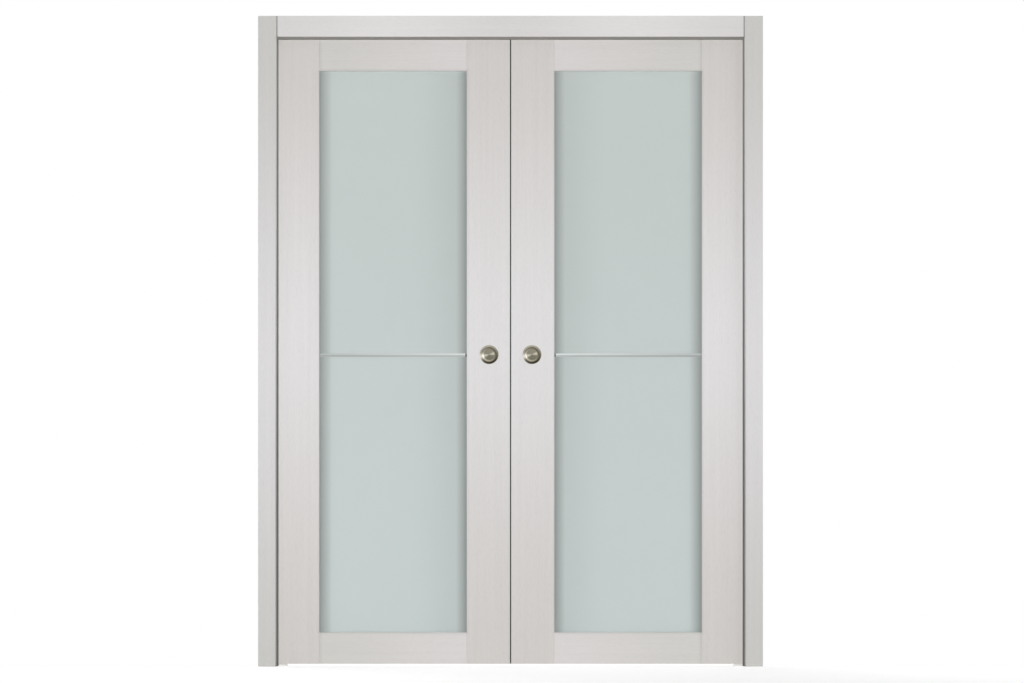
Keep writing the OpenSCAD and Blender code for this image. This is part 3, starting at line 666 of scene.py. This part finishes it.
def web_section():
    """Section of the bar's web between the panes: a plain rectangle."""
    deep, half = PANE[0].y, BAR_WEB / 2
    return np.array([(deep, -half), (-deep, -half), (-deep, half), (deep, half)])


class Dresser:
    """The colours and sizes that the operators share."""

    @property
    def look(self):
        return bpy.context.scene.door_finishes

    @property
    def size(self):
        return bpy.context.scene.door_details


class DOOR_OT_casings(Dresser, bpy.types.Operator):
    """Gives the casings and jambs their laminate"""
    bl_idname = "pocket_door.casings"
    bl_label = "Casings and jambs"

    def execute(self, context):
        look, size = self.look, self.size
        # Painted sheen along each board, painted shade in the gap beside the legs that grows
        # towards the floor, and painted shadow where the heads meet the legs
        upright = laminate(
            "Casing laminate, upright", "Z", look.casing_end, look.casing_painted_sheen, (1.03, 1.06),
            joint=(DOORWAY_X + size.leg_joint, DOORWAY_X), darkness=0.75, heights=PAINTED_SHADE_HEIGHTS)
        across = laminate(
            "Casing laminate, across", "X", look.head_dark, look.head_painted_sheen, (0.39, 0.39),
            joint=(HEAD[1].x - size.head_joint, HEAD[1].x), darkness=0.65)
        dress(upright, "casing_leg_front", "casing_leg_back", "jamb_front", "jamb_back")
        dress(across, "casing_head_front", "casing_head_back", "head_jamb_front", "head_jamb_back")
        return {"FINISHED"}


class DOOR_OT_leaves(Dresser, bpy.types.Operator):
    """Gives the stiles and rails their laminate"""
    bl_idname = "pocket_door.leaves"
    bl_label = "Leaves"

    def execute(self, context):
        look, size = self.look, self.size
        # Painted light near the floor and the casings; below, painted shade at the rails' joints
        edges = {"foot": 0.04, "margin": 0.11}
        upright = laminate(
            "Leaf laminate, upright", "Z", look.stile_end, look.stile_painted_sheen, (1.07, 1.06), **edges)
        across = laminate(
            "Leaf laminate, across", "X", look.rail_outer, look.rail_painted_sheen,
            (GLASS_IN, GLASS_OUT - GLASS_IN), **edges,
            joint=(GLASS_OUT - size.rail_joint, GLASS_OUT), darkness=0.09)
        dress(upright, "meeting_stile", "outer_stile")
        dress(across, "top_rail", "bottom_rail")
        return {"FINISHED"}


class DOOR_OT_panes(bpy.types.Operator):
    """Gives the panes their frosting and the gaskets their rubber"""
    bl_idname = "pocket_door.panes"
    bl_label = "Panes"

    def execute(self, context):
        dress(frosted_glass(), "upper_pane", "lower_pane")
        # Extruded gasket: a dull grey line round the glass
        dress(soft_rubber("Grey glazing rubber", linear("#8f9492")), "glazing_gasket")
        return {"FINISHED"}


class DOOR_OT_bars(Dresser, bpy.types.Operator):
    """Makes the glazing bars with their end pads"""
    bl_idname = "pocket_door.bars"
    bl_label = "Glazing bars"

    def execute(self, context):
        brushed = anodised_aluminium()
        dark = soft_rubber("Dark pad rubber", self.look.pad)
        gap = 0.3 * MM
        inner, outer, pad = GLASS_IN + gap, GLASS_OUT - gap, self.size.pad_length
        both = [cap_section() * [out, 1] for out in FACES.values()]
        caps = [drawn_out(cap, inner + pad, outer) for cap in both]
        caps.append(drawn_out(web_section(), BAR[0].x, BAR[1].x))
        pads = [drawn_out(cap, inner, inner + pad) for cap in both]
        for side, x in SIDES.items():
            bar, ends = ([grid * [x, 1, 1] + [0, 0, BAR_Z] for grid in grids]
                         for grids in (caps, pads))
            made = piece(f"glazing_bar_brushed_{side}", bar, f"leaf_{side}",
                         brushed)
            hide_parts(f"glazing_bar_{side}")
            piece(f"bar_pads_{side}", ends, f"leaf_{side}", dark)
        return {"FINISHED"}


class DOOR_OT_pulls(bpy.types.Operator):
    """Makes the four spun flush pulls"""
    bl_idname = "pocket_door.pulls"
    bl_label = "Flush pulls"

    def execute(self, context):
        nickel = satin_nickel()
        cup = turned(cup_profile(), 120)
        for side, x in SIDES.items():
            for face, out in FACES.items():
                centre = (x * PULL_X, out * -LEAF_FACE, PULL_Z)
                here = set_on(cup, centre, (1, 0, 0), (0, 0, 1), (0, out, 0))
                made = piece(f"flush_pull_{face}_{side}", [here], f"leaf_{side}",
                             nickel, uv="brushing")
                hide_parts(f"pull_{face}_{side}")
        return {"FINISHED"}


class DOOR_OT_seals(Dresser, bpy.types.Operator):
    """Gives the seals their rubber"""
    bl_idname = "pocket_door.seals"
    bl_label = "Seals"

    def execute(self, context):
        # Painted shade growing towards the floor and painted light over the leaves
        grey = soft_rubber("Grey seal rubber", self.look.rubber, foot=0.4, head=0.8)
        dress(grey, "seals_front", "seals_back")
        dress(soft_rubber("Dark seal rubber", self.look.meeting_rubber), "meeting_seal")
        return {"FINISHED"}


class DOOR_OT_tracks(Dresser, bpy.types.Operator):
    """Dresses the header board, tracks, stops, brackets and screws"""
    bl_idname = "pocket_door.tracks"
    bl_label = "Header and tracks"

    def execute(self, context):
        dress(planed_softwood(), "header_board")
        # Mill finish: satin, with fine lines along the track
        dress(metal("Extruded aluminium", "#b9bcbd", 0.38, 0.1, (0.3, 0.4 * MM, 0.4 * MM)),
              "track")
        # Cast and coated: near black, dull and faintly grainy
        dress(metal("Black-coated casting", "#3a3b3d", 0.5, 0.2, (1 * MM,) * 3, metallic=0.2),
              "centre_stop", "end_stops")
        dress(soft_rubber("Black buffer rubber", linear("#242424")), "stop_buffers")
        # Electroplated: bright and cool, with a soft mottle
        zinc = metal("Zinc-plated steel", "#c3c8cc", 0.32, 0.12, (3 * MM,) * 3)
        dress(zinc, "end_brackets", "track_screws")
        head = screw_head(self.size.screw_head / 2, self.size.screw_rise)
        piece("bracket_screws", [head + [x, y, BRACKETS[1].z] for x, y in FOOT_HOLES],
              "frame", zinc)
        return {"FINISHED"}


class DOOR_OT_hangers(Dresser, bpy.types.Operator):
    """Dresses the plates, bolts, carriages and wheels that the leaves hang from"""
    bl_idname = "pocket_door.hangers"
    bl_label = "Hangers"

    def execute(self, context):
        zinc = metal("Zinc-plated hanger steel", "#bfc4c8", 0.34, 0.12, (3 * MM,) * 3)
        dress(zinc, "hanger_plates")
        bolt = hanger_bolt()
        head = screw_head(self.size.screw_head / 2, self.size.screw_rise)
        holes = [middle + step for middle in HANGER_X for step in (-PLATE_HOLE, PLATE_HOLE)]
        for side, x in SIDES.items():
            bolts = [grid + [x * middle, 0, 0] for middle in HANGER_X for grid in bolt]
            screws = [head + [x * hole, 0, PLATES[1].z] for hole in holes]
            made = piece(f"hanger_bolts_threaded_{side}", bolts, f"leaf_{side}",
                         zinc)
            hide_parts(f"hanger_bolts_{side}")
            piece(f"plate_screws_{side}", screws, f"leaf_{side}", zinc)
        # Die cast: mid grey and dull, grainy like its mould
        dress(metal("Grey zinc casting", "#7b7f84", 0.48, 0.16, (1.2 * MM,) * 3, metallic=0.6),
              "inner_carriage", "outer_carriage")
        # Turned: off-white, smooth and a little waxy
        dress(plastic("Turned acetal", "#e9e7df", 0.38),
              "wheels_inner_a", "wheels_inner_b", "wheels_outer_a", "wheels_outer_b")
        return {"FINISHED"}


class DOOR_OT_guides(bpy.types.Operator):
    """Dresses the floor guides"""
    bl_idname = "pocket_door.guides"
    bl_label = "Floor guides"

    def execute(self, context):
        # Moulded: white and half matt
        dress(plastic("White nylon", "#f7f6f2", 0.45), "floor_guides")
        return {"FINISHED"}


def shown_to(add):
    """1 for the camera, for reflections and for what is seen through glass, otherwise 0."""
    rays = add("LightPath").node.outputs
    shown = rays["Is Camera Ray"]
    for kind in ("Is Glossy Ray", "Is Transmission Ray"):
        shown = add("Math", (shown, rays[kind]), operation="ADD", use_clamp=True)
    return shown


def floor_surface(add):
    """Pale floor: white to the camera where nothing shades it, with the door's shadow kept."""
    lit = add("BsdfDiffuse", {"Color": linear("#e7e7e7")})
    faint = add("BsdfDiffuse", {"Color": linear("#ededed")})
    pale = add("AddShader", (faint, add("Emission", {"Strength": 0.61})))
    return add("MixShader", (shown_to(add), lit, pale))


def wall_surface(add):
    """White wall that is seen but neither shades nor lights the door."""
    white = add("Emission", {"Strength": 1.0})
    return add("MixShader", (shown_to(add), add("BsdfTransparent"), white))


def stage_piece(name, corners, faces, surface):
    """A flat part of the stage, with its own material."""
    mesh = bpy.data.meshes.new(name)
    mesh.from_pydata(corners, [], faces)
    made = bpy.data.objects.new(name, mesh)
    bpy.context.scene.collection.objects.link(made)
    material, add = begin(name)
    add("OutputMaterial", {"Surface": surface(add)})
    mesh.materials.append(material)


def sun(name, towards, strength, spread, reflected):
    """A soft distant light from the given side, as wide as spread in degrees, that shows in
    reflections or not."""
    light = bpy.data.lights.new(name, "SUN")
    light.energy = strength
    light.angle = math.radians(spread)
    lamp = bpy.data.objects.new(name, light)
    lamp.rotation_euler = Vector(towards).to_track_quat("Z", "Y").to_euler()
    lamp.visible_glossy = reflected
    bpy.context.scene.collection.objects.link(lamp)


class DOOR_OT_stage(bpy.types.Operator):
    """Sets up the floor, the wall's face, the lights and the camera"""
    bl_idname = "pocket_door.stage"
    bl_label = "Stage"

    def execute(self, context):
        studio = context.scene.door_studio
        world = bpy.data.worlds.new("White studio")
        context.scene.world = world
        world.use_nodes = True
        world.node_tree.nodes.clear()
        add = partial(add_node, world.node_tree)
        rest = 1 - studio.ambient
        strength = add("Math", (shown_to(add), rest, studio.ambient), operation="MULTIPLY_ADD")
        white = add("Background", {"Color": linear("#ffffff"), "Strength": strength})
        add("OutputWorld", {"Surface": white})

        reach = studio.floor_reach
        corners = [(-reach, -reach, 0), (reach, -reach, 0), (reach, reach, 0), (-reach, reach, 0)]
        stage_piece("floor", corners, [(0, 1, 2, 3)], floor_surface)

        # The wall's face lies just behind the casings' backs, and its opening ends behind them
        reach, gap = studio.wall_reach, 0.1 * MM
        x, z = DOORWAY_X + 30 * MM, DOORWAY_Z + 45 * MM
        y = CASING[1].y - TONGUE + gap
        outline = [(-reach, 0), (-x, 0), (x, 0), (reach, 0), (-reach, z), (-x, z), (x, z),
                   (reach, z), (-reach, reach), (reach, reach)]
        stage_piece("wall_face", [(a, y, b) for a, b in outline],
                    [(0, 1, 5, 4), (2, 3, 7, 6), (4, 5, 6, 7, 9, 8)], wall_surface)

        sun("Key light", (-0.02, -1.0, 0.05), 1.97, 5, False)
        sun("Fill light", (0.6, -1.0, 0.35), 0.3, 60, True)
        sun("Side light", (1.0, 0.12, 0.15), 1.2, 15, False)
        sun("Rear light", (-0.45, 1.0, 0.3), 2.1, 60, False)

        camera = bpy.data.cameras.new("camera")
        camera.lens = camera.sensor_width * studio.distance / studio.picture_width
        camera.clip_end = 500
        seat = bpy.data.objects.new("camera", camera)
        seat.location = (studio.camera_x, CASING_FACE - studio.distance, studio.camera_z)
        seat.rotation_euler = (math.radians(90), 0, 0)
        context.scene.collection.objects.link(seat)
        context.scene.camera = seat
        context.scene.view_settings.view_transform = "Standard"
        return {"FINISHED"}


OPERATORS = (DOOR_OT_casings, DOOR_OT_leaves, DOOR_OT_panes, DOOR_OT_bars, DOOR_OT_pulls,
             DOOR_OT_seals, DOOR_OT_tracks, DOOR_OT_hangers, DOOR_OT_guides, DOOR_OT_stage)


class DOOR_PT_panel(bpy.types.Panel):
    """Lists the door's pieces, sizes and colours"""
    bl_label = "Pocket door"
    bl_idname = "DOOR_PT_panel"
    bl_space_type = "VIEW_3D"
    bl_region_type = "UI"
    bl_category = "Pocket door"

    def draw(self, context):
        for operator in OPERATORS:
            self.layout.operator(operator.bl_idname)
        for label in GROUPS:
            group = getattr(context.scene, label)
            for name in group.__annotations__:
                self.layout.prop(group, name)


GROUPS = {"door_finishes": Finishes, "door_details": Details, "door_studio": Studio}


def register():
    """Registers the groups, the operators and the panel."""
    for name, group in GROUPS.items():
        bpy.utils.register_class(group)
        setattr(bpy.types.Scene, name, bpy.props.PointerProperty(type=group))
    for made in OPERATORS + (DOOR_PT_panel,):
        bpy.utils.register_class(made)


def unregister():
    """Takes back what register did."""
    for made in (DOOR_PT_panel,) + OPERATORS:
        bpy.utils.unregister_class(made)
    for name, group in GROUPS.items():
        delattr(bpy.types.Scene, name)
        bpy.utils.unregister_class(group)


def main():
    """Builds the dressed door."""
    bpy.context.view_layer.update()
    register()
    for operator in OPERATORS:
        group, name = operator.bl_idname.split(".")
        getattr(getattr(bpy.ops, group), name)()


if __name__ == "__main__":
    main()
